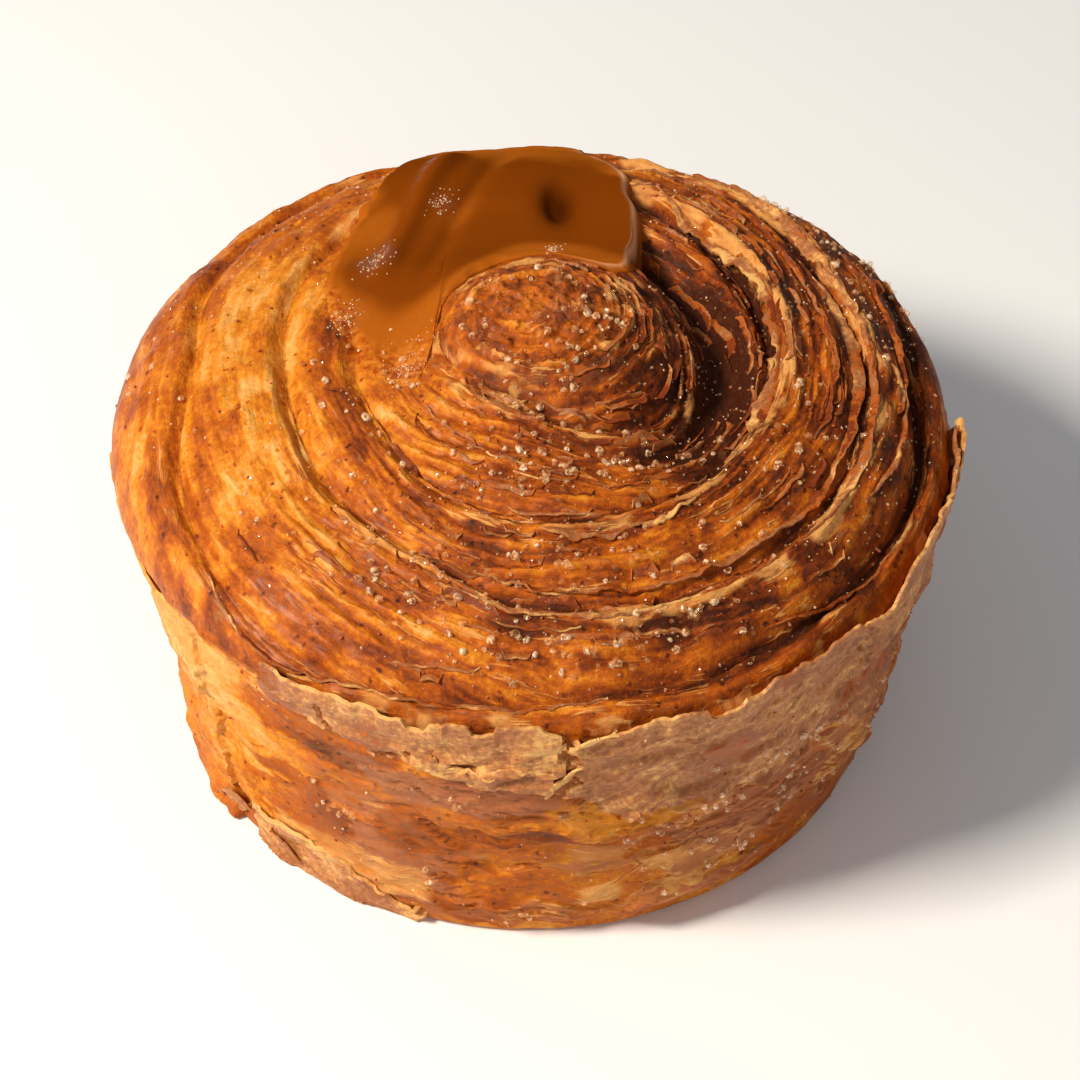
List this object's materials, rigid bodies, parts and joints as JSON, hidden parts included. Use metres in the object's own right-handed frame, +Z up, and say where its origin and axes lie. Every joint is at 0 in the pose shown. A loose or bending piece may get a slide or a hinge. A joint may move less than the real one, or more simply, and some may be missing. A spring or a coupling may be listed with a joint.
{
  "type": "cruffin",
  "caption": "Round coiled pastry baked in a muffin tin: flaky spiral top with a raised middle knob, tapering leafy wall, coarse sugar, and caramel poured over the back",
  "frame": {"origin": "middle of the flat underside, on the surface the pastry stands on", "axes": "+Z up through the knob, -Y the front, +Y the back where the caramel runs over the rim, +X the side with the loose outer leaf"},
  "size_m": [0.0908, 0.0924, 0.0542],
  "materials": {
    "crust": "baked golden brown, flaky, lightly glazed and sugared",
    "caramel": "wet glossy caramel, slightly translucent"
  },
  "bodies": {
    "root": {"pastry": "crust", "caramel": "caramel"}
  },
  "joints": []
}
